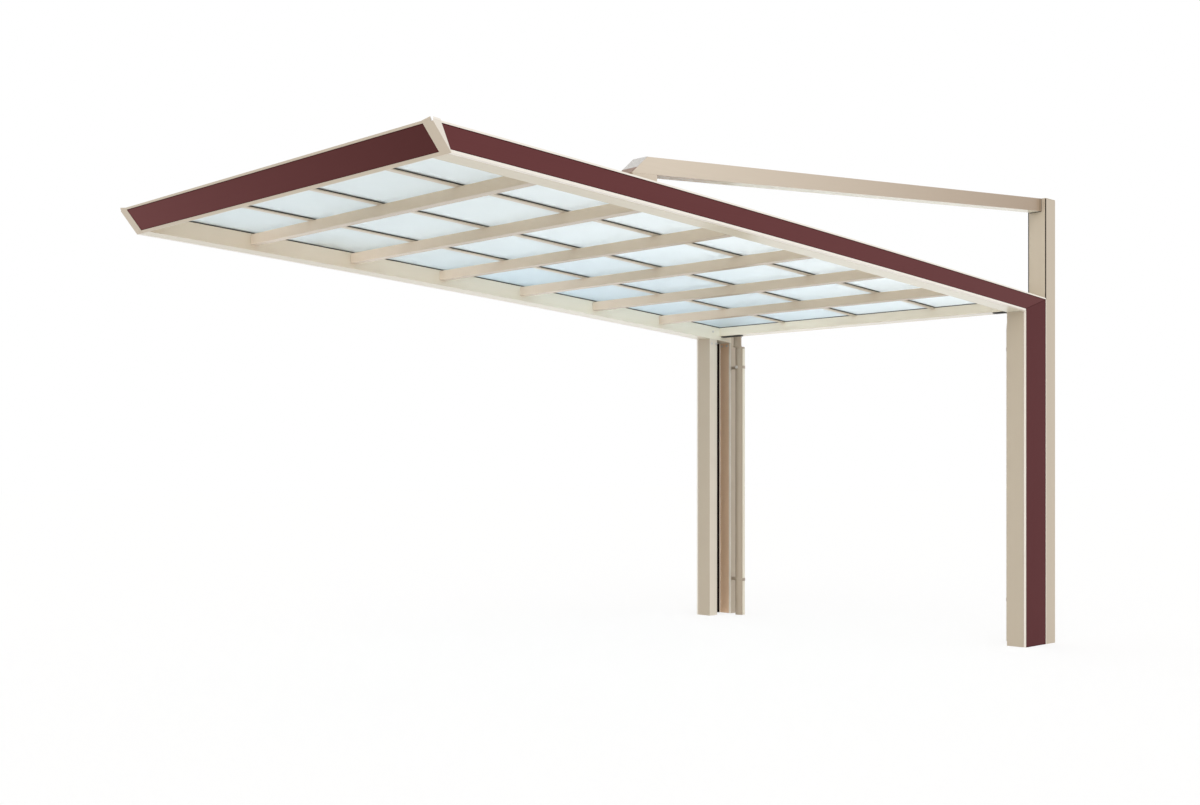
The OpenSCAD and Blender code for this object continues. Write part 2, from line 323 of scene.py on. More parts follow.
        # Painted grazing-view tint: bluer towards the left and rear
        rear = graph.span(split.outputs["Y"], cls.COOL_REAR, cls.COOL_LEAST, cls.COOL_MOST)
        aside = graph.span(split.outputs["X"], cls.COOL_ASIDE, rear, 0.0)
        ahead = graph.span(split.outputs["Y"], cls.GREY_FRONT, cls.GREY_MOST, 0.0)
        cloud = graph.noise(given["Vector"], cls.CLOUD_SCALE, detail=3.0)
        drift = graph.span(cloud, cls.NOISE_RANGE, -cls.CLOUD_DRIFT, cls.CLOUD_DRIFT)
        cool = graph.blend(aside, given["Colour"], given["Deep"])
        grey = graph.math("ADD", ahead, drift, clamp=True)
        graph.join(graph.blend(grey, cool, given["Shade"]), out["Colour"])
        graph.join(graph.span(cloud, cls.NOISE_RANGE, given["Smooth"], given["Rough"]), out["Roughness"])
        graph.join(graph.noise(given["Vector"], cls.PEBBLE_SCALE, detail=2.0), out["Height"])
        return graph.tree

    @classmethod
    def speckle(cls) -> bpy.types.NodeTree:
        """Fine speckle for rubber and zinc-plated steel.

        Returns:
            The shader group.
        """
        if cls.SPECKLE in bpy.data.node_groups:
            return bpy.data.node_groups[cls.SPECKLE]
        graph, given, out = cls._open(cls.SPECKLE, cls.BASIC)
        patch = graph.noise(given["Vector"], cls.PATCH_SCALE, detail=3.0)
        grain = graph.noise(given["Vector"], cls.FINE_SCALE, detail=1.0)
        tone = graph.span(patch, cls.PATCH_RANGE, 0.0, 1.0)
        graph.join(graph.blend(tone, given["Colour"], given["Shade"]), out["Colour"])
        graph.join(graph.span(patch, cls.NOISE_RANGE, given["Smooth"], given["Rough"]), out["Roughness"])
        graph.join(grain, out["Height"])
        return graph.tree


@dataclass(frozen=True)
class Finish:
    """A surface finish whose detail comes from one of the shared groups."""

    name: str
    colour: Colour
    shade: Colour
    smooth: float
    rough: float
    bump: float
    bump_depth: ClassVar[float] = 0.0006

    def _open(self, group: bpy.types.NodeTree) -> tuple[bpy.types.Node, bpy.types.Node, bpy.types.Material]:
        """Make a material whose colour, roughness and bump come from a group.

        Args:
            group: The shader group.

        Returns:
            The group's node, the shader and the material.
        """
        material = bpy.data.materials.new(self.name)
        material.use_nodes = True
        graph = NodeGraph(material.node_tree)
        place = graph.add("ShaderNodeTexCoord")
        effect = graph.add("ShaderNodeGroup", node_tree=group)
        shader = graph.add("ShaderNodeBsdfPrincipled")
        bump = graph.add("ShaderNodeBump")
        result = graph.add("ShaderNodeOutputMaterial")
        bump.inputs["Strength"].default_value = self.bump
        bump.inputs["Distance"].default_value = self.bump_depth
        effect.inputs["Colour"].default_value = (*self.colour, 1.0)
        effect.inputs["Shade"].default_value = (*self.shade, 1.0)
        effect.inputs["Smooth"].default_value = self.smooth
        effect.inputs["Rough"].default_value = self.rough
        graph.join(place.outputs["Object"], effect.inputs["Vector"])
        graph.join(effect.outputs["Colour"], shader.inputs["Base Color"])
        graph.join(effect.outputs["Roughness"], shader.inputs["Roughness"])
        graph.join(effect.outputs["Height"], bump.inputs["Height"])
        graph.join(bump.outputs["Normal"], shader.inputs["Normal"])
        graph.join(shader.outputs["BSDF"], result.inputs["Surface"])
        return effect, shader, material


@dataclass(frozen=True)
class PaintedProfile(Finish):
    """Painted aluminium profile with draw lines along its run."""

    metallic: float = 0.0
    shine: float = 0.5
    # deep, slope and start paint light and shade: a lighter or darker tone that grows towards one end of the
    # part
    deep: Colour = (0.0, 0.0, 0.0)
    slope: Triple = (0.0, 0.0, 0.0)
    start: float = 0.0

    def material(self, run: Run) -> bpy.types.Material:
        """Build the material for one run direction.

        Args:
            run: Direction in which the profile was drawn.

        Returns:
            The material.
        """
        effect, shader, material = self._open(Effects.profile())
        effect.inputs["Stretch"].default_value = run.value
        effect.inputs["Deep"].default_value = (*self.deep, 1.0)
        effect.inputs["Slope"].default_value = self.slope
        effect.inputs["Start"].default_value = self.start
        shader.inputs["Metallic"].default_value = self.metallic
        shader.inputs["Specular IOR Level"].default_value = self.shine
        material.name = f"{self.name}_{run.name.lower()}"
        return material


@dataclass(frozen=True)
class PlainPart(Finish):
    """Rubber, plated steel or moulded plastic with a fine speckle."""

    metallic: float = 0.0
    shine: float = 0.5

    def material(self) -> bpy.types.Material:
        """Build the material.

        Returns:
            The material.
        """
        _, shader, material = self._open(Effects.speckle())
        shader.inputs["Metallic"].default_value = self.metallic
        shader.inputs["Specular IOR Level"].default_value = self.shine
        return material


@dataclass(frozen=True)
class FrostedPane(Finish):
    """Frosted roof sheet that lets light through without showing what is behind."""

    through: float = 0.97
    ior: float = 1.3
    # deep: bluer tone painted in towards the left and rear, for the look of the sheets at grazing view
    deep: Colour = (0.68, 0.80, 0.875)

    def material(self) -> bpy.types.Material:
        """Build the material.

        Returns:
            The material.
        """
        effect, shader, material = self._open(Effects.frost())
        effect.inputs["Deep"].default_value = (*self.deep, 1.0)
        shader.inputs["Transmission Weight"].default_value = self.through
        shader.inputs["IOR"].default_value = self.ior
        return material


BEIGE = PaintedProfile("beige_frame", (0.555, 0.475, 0.372), (0.535, 0.455, 0.352), 0.285, 0.31, 0.05,
                       metallic=0.05)
# Lighter copy for the front posts' inner faces: painted light from the right
POST_IN = PaintedProfile("post_inner", (0.760, 0.690, 0.580), (0.735, 0.665, 0.555), 0.22, 0.25, 0.05)
# Darker copy of the beige for the front posts: painted shade of the roof over them
POST = PaintedProfile("post_beige", (0.500, 0.428, 0.332), (0.480, 0.408, 0.312), 0.285, 0.31, 0.05,
                      metallic=0.05)
# Rafters: the deep tone paints light on their left ends
RAFTER = PaintedProfile("rafter_beige", (0.575, 0.482, 0.368), (0.555, 0.462, 0.350), 0.235, 0.265, 0.05,
                        metallic=0.05, deep=(0.790, 0.655, 0.525), slope=(-1.0, 0.0, 0.0), start=-1.65)
# Hanging beams and saddles: the deep tone paints shade that grows towards the rear end
HANGING = PaintedProfile("beam_beige", (0.690, 0.600, 0.490), (0.670, 0.578, 0.468), 0.28, 0.31, 0.05,
                         metallic=0.05, deep=(0.375, 0.278, 0.194), slope=(0.0, 0.26, 0.0), start=1.013)
# Darker copy for the rafters' undersides: painted shade, with painted light on the left ends
RAFTER_LOW = PaintedProfile("rafter_low", (0.485, 0.405, 0.310), (0.465, 0.385, 0.292), 0.235, 0.265, 0.05,
                            metallic=0.05, deep=(0.660, 0.550, 0.440), slope=(-1.0, 0.0, 0.0), start=-1.65)
# Paler copy for the hanging beams' undersides: painted light reflected from the floor, with painted shade
# near the nose where the roof lies close
BEAM_LOW = PaintedProfile("beam_low", (0.790, 0.735, 0.605), (0.765, 0.710, 0.580), 0.22, 0.25, 0.05,
                          deep=(0.480, 0.345, 0.220), slope=(0.0, -3.0, 0.0), start=-9.6)
PALE = PaintedProfile("pale_beam", (0.800, 0.745, 0.615), (0.775, 0.720, 0.590), 0.22, 0.25, 0.05)
# Side beams: the deep tone paints shade that grows towards their front ends
INNER = PaintedProfile("side_pale", (0.850, 0.800, 0.665), (0.825, 0.775, 0.640), 0.22, 0.25, 0.05,
                       deep=(0.710, 0.605, 0.475), slope=(0.0, -0.4, 0.0), start=-0.72)
# Darker copy for the side beams' undersides: painted shade, also growing towards the front ends
UNDER = PaintedProfile("under_pale", (0.760, 0.715, 0.590), (0.735, 0.690, 0.565), 0.22, 0.25, 0.05,
                       deep=(0.605, 0.540, 0.410), slope=(0.0, -0.4, 0.0), start=-0.72)
# Rear beam: the deep tone paints shade that grows towards its right end
REAR = PaintedProfile("rear_pale", (0.850, 0.780, 0.640), (0.825, 0.755, 0.615), 0.22, 0.25, 0.05,
                      deep=(0.725, 0.655, 0.530), slope=(1.1, 0.0, 0.0), start=2.1)
# Near-white of the painted highlights on the tall posts' front corners below the roof
FOOT = PaintedProfile("foot_strip", (0.930, 0.870, 0.770), (0.905, 0.845, 0.745), 0.285, 0.32, 0.05)
# Lighter copy of the cream for the side frame's outward faces and the corner caps' side arms: painted
# highlight
EDGE = PaintedProfile("pale_edge", (0.890, 0.838, 0.760), (0.865, 0.813, 0.735), 0.285, 0.32, 0.05)
CREAM = PaintedProfile("cream_trim", (0.800, 0.745, 0.665), (0.775, 0.720, 0.640), 0.285, 0.32, 0.05)
WINE = PaintedProfile("wine_panel", (0.137, 0.044, 0.045), (0.129, 0.040, 0.041), 0.32, 0.36, 0.05,
                      shine=0.04)
# Darker copy of the wine for the post panels: painted shade
POST_WINE = PaintedProfile("wine_post", (0.110, 0.031, 0.033), (0.102, 0.028, 0.030), 0.32, 0.36, 0.05,
                           shine=0.03)
# Darker copy of the wine for the leaning front band, which gets less light: painted shade, deepening towards
# the right
FRONT_WINE = PaintedProfile("wine_front", (0.142, 0.043, 0.043), (0.134, 0.039, 0.039), 0.32, 0.36, 0.05,
                            shine=0.03, deep=(0.084, 0.024, 0.023), slope=(0.345, 0.0, 0.0), start=1.0)
PIPE = PaintedProfile("pipe_beige", (0.42, 0.345, 0.26), (0.39, 0.318, 0.238), 0.30, 0.36, 0.06)
NOSE_CAP = PlainPart("nose_cap", (0.60, 0.585, 0.565), (0.54, 0.525, 0.505), 0.36, 0.46, 0.08)
# Brown painted shade: on the lower part of the beam noses and in the groove line beside the post panel's
# edge
BROWN_SHADE = PlainPart("toe_plate", (0.30, 0.19, 0.14), (0.25, 0.155, 0.115), 0.40, 0.50, 0.08)
# Orange-brown of the painted niche shade, warmed by the red light from the post panel
NICHE = PlainPart("niche_brown", (0.840, 0.590, 0.400), (0.810, 0.565, 0.380), 0.34, 0.40, 0.06)
# Black rubber of the roof seals, also painted shade in the slot under the rear beam's ends
SEAL_AND_SLOT_SHADE = PlainPart("black_seal", (0.030, 0.028, 0.028), (0.020, 0.019, 0.019), 0.55, 0.70, 0.15)
# Dark brown of the beam joint lines, and painted shade: in the corner rebates above the roof and under the
# hanging beam's end
JOINT_AND_SHADE = PlainPart("joint_strip", (0.050, 0.039, 0.030), (0.042, 0.033, 0.025), 0.60, 0.72, 0.10, shine=0.15)
# Dark wine of the painted shadow lines that the frame lips cast on the coloured panels' edges
BAND_SHADOW = PlainPart("wine_seal", (0.070, 0.017, 0.017), (0.060, 0.014, 0.014), 0.60, 0.70, 0.08,
                      shine=0.03)
# Near-black for the post panels' inner faces
PANEL_DARK = PlainPart("panel_back", (0.022, 0.014, 0.013), (0.016, 0.010, 0.009), 0.55, 0.68, 0.10, shine=0.10)
STEEL = PlainPart("plated_screw", (0.72, 0.69, 0.65), (0.62, 0.59, 0.55), 0.28, 0.40, 0.10, metallic=0.70)
PANE = FrostedPane("roof_sheet", (0.93, 0.98, 0.995), (0.700, 0.745, 0.745), 0.80, 0.95, 0.05)


class Workpiece:
    """A mesh under construction and the few moves that the trims need."""

    ROUND, HEX = 24, 6
    WASHER_TALL, WASHER_FOOT, WASHER_TOP = 0.3, 1.45, 1.38
    HEAD_TOP, RIM, DOME = 0.94, 0.14, 0.10
    SOCKET, SOCKET_DEEP = 0.36, 0.55
    SHARP_ANGLE = math.radians(32.0)
    SAME_POINT = 1e-6

    def __init__(self, name: str) -> None:
        """Start an empty mesh.

        Args:
            name: Name of the finished piece.
        """
        self.name = name
        self.bm = bmesh.new()

    def _soften(self, edges: list[bmesh.types.BMEdge], width: float, segments: int = 2) -> None:
        """Round a set of edges."""
        bmesh.ops.bevel(self.bm, geom=edges, offset=width, offset_type="OFFSET", affect="EDGES",
                        segments=segments, profile=0.5, material=-1, clamp_overlap=True)

    def block(self, lo: Triple, hi: Triple, edge: float = 0.0) -> None:
        """Add a block, with softened edges where a width is given.

        Args:
            lo: Lowest corner.
            hi: Highest corner.
            edge: Width of the softened edges, 0 for none.
        """
        made = bmesh.ops.create_cube(self.bm, size=1.0)["verts"]
        size = Vector(hi) - Vector(lo)
        bmesh.ops.scale(self.bm, vec=size, verts=made)
        bmesh.ops.translate(self.bm, vec=(Vector(hi) + Vector(lo)) / 2, verts=made)
        if edge > 0.0:
            self._soften(list({e for v in made for e in v.link_edges}), edge)

    def sweep(self, section: list[Vector], path: list[Vector]) -> None:
        """Carry a flat section along a path without turning it.

        Args:
            section: Corners of the section at the first point of the path.
            path: Points that the section follows.
        """
        corners = [self.bm.verts.new(p) for p in section]
        face = self.bm.faces.new(corners)
        for start, end in zip(path, path[1:]):
            grown = bmesh.ops.extrude_face_region(self.bm, geom=[face])["geom"]
            face = next(g for g in grown if isinstance(g, bmesh.types.BMFace))
            moved = [g for g in grown if isinstance(g, bmesh.types.BMVert)]
            bmesh.ops.translate(self.bm, vec=end - start, verts=moved)

    def bar(self, section: list[Vector], x0: float, x1: float) -> None:
        """Carry a section across, from one place to another.

        Args:
            section: Corners of the section, of which only Y and Z count.
            x0: Place of the first end.
            x1: Place of the other end.
        """
        corners = [Vector((x0, p.y, p.z)) for p in section]
        self.sweep(corners, [Vector((x0, 0.0, 0.0)), Vector((x1, 0.0, 0.0))])

    def solid(self, points: list[Vector]) -> None:
        """Add the convex solid round a set of points."""
        corners = [self.bm.verts.new(p) for p in points]
        bmesh.ops.convex_hull(self.bm, input=corners)

    def head(self, centre: Vector, normal: Vector, radius: float, height: float, sides: int = ROUND) -> None:
        """Add a domed screw head with a socket, standing on a washer.

        Args:
            centre: Middle of the washer's lower face.
            normal: Direction in which the head stands.
            radius: Radius of the head.
            height: Height of washer and head together.
            sides: Sides of the head, 6 for a hexagon.
        """
        turn = Vector((0.0, 0.0, 1.0)).rotation_difference(normal).to_matrix().to_4x4()
        washer = height * self.WASHER_TALL
        lift = Matrix.Translation(centre) @ turn
        bmesh.ops.create_cone(self.bm, cap_ends=True, segments=self.ROUND, radius1=radius * self.WASHER_FOOT,
                              radius2=radius * self.WASHER_TOP, depth=washer,
                              matrix=lift @ Matrix.Translation((0.0, 0.0, washer / 2)))
        tall = height - washer
        place = lift @ Matrix.Translation((0.0, 0.0, washer + tall / 2))
        made = bmesh.ops.create_cone(self.bm, cap_ends=True, segments=sides, radius1=radius,
                                     radius2=radius * self.HEAD_TOP, depth=tall, matrix=place)["verts"]
        top = max((f for v in made for f in v.link_faces),
                  key=lambda f: (f.calc_center_median() - centre).dot(normal))
        bmesh.ops.inset_region(self.bm, faces=[top], thickness=radius * self.RIM, depth=radius * self.DOME)
        bmesh.ops.inset_region(self.bm, faces=[top], thickness=radius * self.SOCKET)
        bmesh.ops.translate(self.bm, vec=normal * (-tall * self.SOCKET_DEEP), verts=list(top.verts))

    def turned(self, outline: list[tuple[float, float]], centre: Vector, steps: int = 64) -> None:
        """Turn an outline of (radius, height) points about an upright axis.

        Args:
            outline: Points of the outline, from the foot to the head.
            centre: Point on the axis at height 0.
            steps: Segments in a full turn.
        """
        points = [self.bm.verts.new((centre[0] + r, centre[1], centre[2] + h)) for r, h in outline]
        edges = [self.bm.edges.new(pair) for pair in zip(points, points[1:])]
        bmesh.ops.spin(self.bm, geom=points + edges, cent=centre, axis=(0.0, 0.0, 1.0),
                       angle=math.tau, steps=steps, use_merge=True)
        bmesh.ops.remove_doubles(self.bm, verts=self.bm.verts[:], dist=self.SAME_POINT)

    def done(self, material: bpy.types.Material, smooth: bool = False,
             replaces: str = "") -> None:
        """Close the mesh and hang the piece on the frame.

        Args:
            material: Finish of the piece.
            smooth: Whether gentle angles are shaded smooth.
            replaces: CAD node that the piece stands for, if any.
        """
        bmesh.ops.recalc_face_normals(self.bm, faces=self.bm.faces[:])
        mesh = bpy.data.meshes.new(self.name)
        self.bm.to_mesh(mesh)
        self.bm.free()
        if smooth:
            mesh.shade_smooth()
            mesh.set_sharp_from_angle(angle=self.SHARP_ANGLE)
        mesh.materials.append(material)
        piece = bpy.data.objects.new(self.name, mesh)
        bpy.context.scene.collection.objects.link(piece)
        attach(piece, BODY)
        if replaces:
            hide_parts(replaces)
        LOG.info("built %s with %d faces", self.name, len(mesh.polygons))


@dataclass
class RoofLine:
    """Underside of the roof sheets, read from a sheet's own mesh."""

    knots: list[tuple[float, float]]
    sheet_below: float = 0.011
    digits: ClassVar[int] = 5

    @classmethod
    def read(cls, node: bpy.types.Object) -> "RoofLine":
        """Read the line from a sheet.

        Args:
            node: The sheet's CAD node.

        Returns:
            The roof line.
        """
        lows: dict[float, float] = {}
        for vertex in node.data.vertices:
            y = round(vertex.co.y, cls.digits)
            lows[y] = min(vertex.co.z, lows.get(y, vertex.co.z))
        return cls(sorted(lows.items()))

    def z(self, y: float, below: float = 0.0) -> float:
        """Height at a place along the length.

        Args:
            y: The place.
            below: Distance under the sheets' underside.

        Returns:
            The height.
        """
        pairs = list(zip(self.knots, self.knots[1:]))
        (y0, z0), (y1, z1) = next((p for p in pairs if y <= p[1][0]), pairs[-1])
        return z0 + (z1 - z0) * (y - y0) / (y1 - y0) - below

    def band(self, y: float, below: float = 0.0) -> float:
        """Height of the coloured band's top edge, less a distance."""
        return self.z(y, below - self.sheet_below)

    def stops(self, y0: float, y1: float) -> list[float]:
        """Both ends and every knot in between."""
        return [y0] + [y for y, _ in self.knots if y0 + TIGHT < y < y1 - TIGHT] + [y1]

    def rail(self, piece: Workpiece, x: tuple[float, float], y: tuple[float, float],
             below: tuple[float, float]) -> None:
        """Add a strip that follows the roof.

        Args:
            piece: The mesh to add to.
            x: Plan limits across.
            y: Front and rear end.
            below: Top and foot, as distances under the sheets' underside.
        """
        places = self.stops(*y)
        top, foot = below
        section = [Vector((x[i], places[0], self.z(places[0], level)))
                   for i, level in ((0, top), (1, top), (1, foot), (0, foot))]
        piece.sweep(section, [Vector((0.0, s, self.z(s))) for s in places])


class Look(Enum):
    """Which way a face looks; across the width it is taken for the right side and mirrored for the left."""

    OUT = (1.0, 0.0, 0.0)
    IN = (-1.0, 0.0, 0.0)
    DOWN = (0.0, 0.0, -1.0)


@dataclass(frozen=True)
class Coat:
    """Finish of a node, and a lighter or darker copy for the faces that look one way, which paints the light
    and shade those faces get.
    """

    finish: PaintedProfile
    run: Run
    accent: PaintedProfile | None = None
    look: Look = Look.OUT


# Finish of every CAD node except the sheets, by its name without side or number; a second finish is a
# lighter or darker copy painting light and shade on faces that look the given way
COATS = {
    "front_post": Coat(POST, Run.UPRIGHT, POST_IN, Look.IN),
    "tall_post": Coat(BEIGE, Run.UPRIGHT),
    "tall_cap": Coat(BEIGE, Run.ACROSS),
    "post_frame": Coat(CREAM, Run.UPRIGHT),
    "post_panel": Coat(POST_WINE, Run.UPRIGHT),
    "side_beam": Coat(INNER, Run.LENGTH, UNDER, Look.DOWN),
    "side_frame": Coat(CREAM, Run.LENGTH, EDGE, Look.OUT),
    "side_panel": Coat(WINE, Run.LENGTH),
    "front_beam": Coat(PALE, Run.ACROSS),
    "front_frame": Coat(BEIGE, Run.ACROSS),
    "front_panel": Coat(FRONT_WINE, Run.ACROSS),
    "corner_cover": Coat(BEIGE, Run.UPRIGHT, CREAM, Look.OUT),
    "rear_beam": Coat(REAR, Run.ACROSS),
    "rafter": Coat(RAFTER, Run.ACROSS, RAFTER_LOW, Look.DOWN),
    "batten": Coat(BEIGE, Run.LENGTH),
    "hanging_beam": Coat(HANGING, Run.LENGTH, BEAM_LOW, Look.DOWN),
    "saddle": Coat(HANGING, Run.LENGTH),
    "downpipe": Coat(PIPE, Run.UPRIGHT),
    "pipe_clips": Coat(PIPE, Run.ACROSS),
}


@dataclass
class CadDress:
    """Finishes and softened edges on the CAD nodes that stay."""

    nodes: dict[str, bpy.types.Object]
    edge: float = 0.0010
    bend: float = 35.0
    same_point: float = 0.00002
    facing: float = 0.9

    def __post_init__(self) -> None:
        """Prepare each finish once per run direction."""
        self.made: dict[tuple[str, Run], bpy.types.Material] = {}
        self.pane = PANE.material()

    def paint(self, finish: PaintedProfile, run: Run) -> bpy.types.Material:
        """Material of a finish along one run, made on first use.

        Args:
            finish: The finish.
            run: Direction in which the profile was drawn.

        Returns:
            The material.
        """
        key = (finish.name, run)
        if key not in self.made:
            self.made[key] = finish.material(run)
        return self.made[key]

    def _coat(self, name: str, node: bpy.types.Object) -> None:
        """Give a node its finish, and the faces that look one way a lighter or darker copy with painted
        light and shade.

        Args:
            name: The node's name.
            node: The node.
        """
        node.data.materials.clear()
        stem = name.rsplit("_", 1)[0] if name[-2:] in ("_r", "_l") or name[-1].isdigit() else name
        if stem == "sheet":
            node.data.materials.append(self.pane)
            return
        coat = COATS[stem]
        node.data.materials.append(self.paint(coat.finish, coat.run))
        if coat.accent is None:
            return
        node.data.materials.append(self.paint(coat.accent, coat.run))
        way = Vector(coat.look.value)
        if name.endswith("_l"):
            way.x = -way.x
        for face in node.data.polygons:
            face.material_index = int(face.normal.dot(way) > self.facing)

    def dress(self) -> None:
        """Paint every node and soften its edges."""
        for name, node in sorted(self.nodes.items()):
            self._coat(name, node)
            if not name.startswith("sheet"):
                weld = node.modifiers.new("join", "WELD")
                weld.merge_threshold = self.same_point
                bevel = node.modifiers.new("soft_edges", "BEVEL")
                bevel.width = self.edge
                bevel.segments = 2
                bevel.limit_method = "ANGLE"
                bevel.angle_limit = math.radians(self.bend)
            LOG.info("dressed %s", name)


@dataclass
class RoofSeals:
    """Black glazing seals under the sheets."""

    roof: RoofLine
    thick: float = 0.0018
    top: float = 0.0005
    foot: float = 0.0060

    def build(self) -> None:
        """Lay a seal beside every batten and along the frame's inner faces."""
        seal = SEAL_AND_SLOT_SHADE.material()
        front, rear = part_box("front_beam")[1].y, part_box("rear_beam")[0].y
        levels = (self.top, self.foot)
        ends = (front + self.thick, rear - self.thick)
        left, right = (side.inner(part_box(side.node("side_beam"))) for side in (Side.LEFT, Side.RIGHT))
        gaps = [left + self.thick]
        piece = Workpiece("batten_seals")
        for i in BATTENS:
            lo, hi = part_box(f"batten_{i}")
            self.roof.rail(piece, (lo.x - self.thick, lo.x), ends, levels)
            self.roof.rail(piece, (hi.x, hi.x + self.thick), ends, levels)
            gaps += [lo.x - self.thick, hi.x + self.thick]
        piece.done(seal)
        gaps.append(right - self.thick)
        piece = Workpiece("edge_seals")
        self.roof.rail(piece, (left, left + self.thick), (front, rear), levels)
        self.roof.rail(piece, (right - self.thick, right), (front, rear), levels)
        for x in zip(gaps[::2], gaps[1::2]):
            self.roof.rail(piece, x, (front, front + self.thick), levels)
            self.roof.rail(piece, x, (rear - self.thick, rear), levels)
        piece.done(seal)


@dataclass
class BandShadowLines:
    """Dark beads between the coloured panels and their frames: painted shadow that the frame lips cast on
    the panel edges.
    """

    roof: RoofLine
    wide: float = 0.004
    proud: float = 0.0005
    mitre: float = 0.003
    front_gap: float = 0.002
    cover_gap: float = 0.02
    past_slant: int = 4
    digits: int = 4
    top_zone: float = 0.004

    def build(self) -> None:
        """Lay the painted shadow beads round the side, post and front panels."""
        bead = BAND_SHADOW.material()
        for side in Side:
            self._side(side, bead)
        self._front(bead)

    def _side(self, side: Side, bead: bpy.types.Material) -> None:
        """Painted shadow beads of one side's band and post panel.

        Args:
            side: Which side.
            bead: Finish of the painted shadow beads.
        """
        lo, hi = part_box(side.node("side_panel"))
        post_lo, post_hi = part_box(side.node("post_panel"))
        face = side.outer((lo, hi))
        x = tuple(sorted((face, face + side.out * self.proud)))
        off = self.roof.sheet_below
        band = self._band_height(side)
        piece = Workpiece(side.node("band_beads"))
        self.roof.rail(piece, x, (lo.y + self.front_gap, hi.y), (-off, -off + self.wide))
        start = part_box(side.node("corner_cover"))[1].y + self.cover_gap
        self.roof.rail(piece, x, (start, post_lo.y), (band - off - self.wide, band - off))
        piece.block((x[0], hi.y - self.wide, 0.0), (x[1], hi.y, self.roof.band(hi.y) - self.wide))
        piece.block((x[0], post_lo.y, 0.0), (x[1], post_hi.y - self.wide, self.wide))
        low = Vector((x[0], post_lo.y, self.roof.band(post_lo.y, band)))
        top = Vector((x[0], hi.y - self.wide, self.roof.band(hi.y) - self.wide))
        along = (top - low).normalized()
        square = Vector((0.0, -along.z, along.y)) * self.mitre
        through = Vector((x[1] - x[0], 0.0, 0.0))
        piece.sweep([low, low + square, low + square + through, low + through], [low, top])
        piece.done(bead)

    def _band_height(self, side: Side) -> float:
        """Height of the coloured band, read just behind its panel's slanted front end.

        Args:
            side: Which side.

        Returns:
            The height.
        """
        node = bpy.data.objects[side.node("side_panel")]
        ys = sorted({round(v.co.y, self.digits) for v in node.data.vertices})
        zs = [v.co.z for v in node.data.vertices if abs(v.co.y - ys[self.past_slant]) < LOOSE]
        return max(zs) - min(zs)

    def _front(self, bead: bpy.types.Material) -> None:
        """Painted shadow beads round the leaning front band.

        Args:
            bead: Finish of the painted shadow beads.
        """
        lo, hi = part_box("front_panel")
        slope = Vector((0.0, hi.y - lo.y - self._level_thickness(), lo.z - hi.z))
        down = slope.normalized()
        out = Vector((0.0, down.z, -down.y))
        top = Vector((0.0, lo.y, hi.z))
        foot = top + slope
        piece = Workpiece("front_beads")
        for start, way in ((top, down), (foot, -down)):
            near = start + out * self.proud
            piece.bar([start, near, near + way * self.wide, start + way * self.wide], lo.x, hi.x)
        a, b = top + down * self.wide, foot - down * self.wide
        for x0 in (lo.x, hi.x - self.wide):
            piece.bar([a, a + out * self.proud, b + out * self.proud, b], x0, x0 + self.wide)
        piece.done(bead)

    def _level_thickness(self) -> float:
        """Thickness of the front panel measured level.

        Returns:
            The thickness.
        """
        node = bpy.data.objects["front_panel"]
        top = max(v.co.z for v in node.data.vertices)
        ys = [v.co.y for v in node.data.vertices if v.co.z > top - self.top_zone]
        return max(ys) - min(ys)


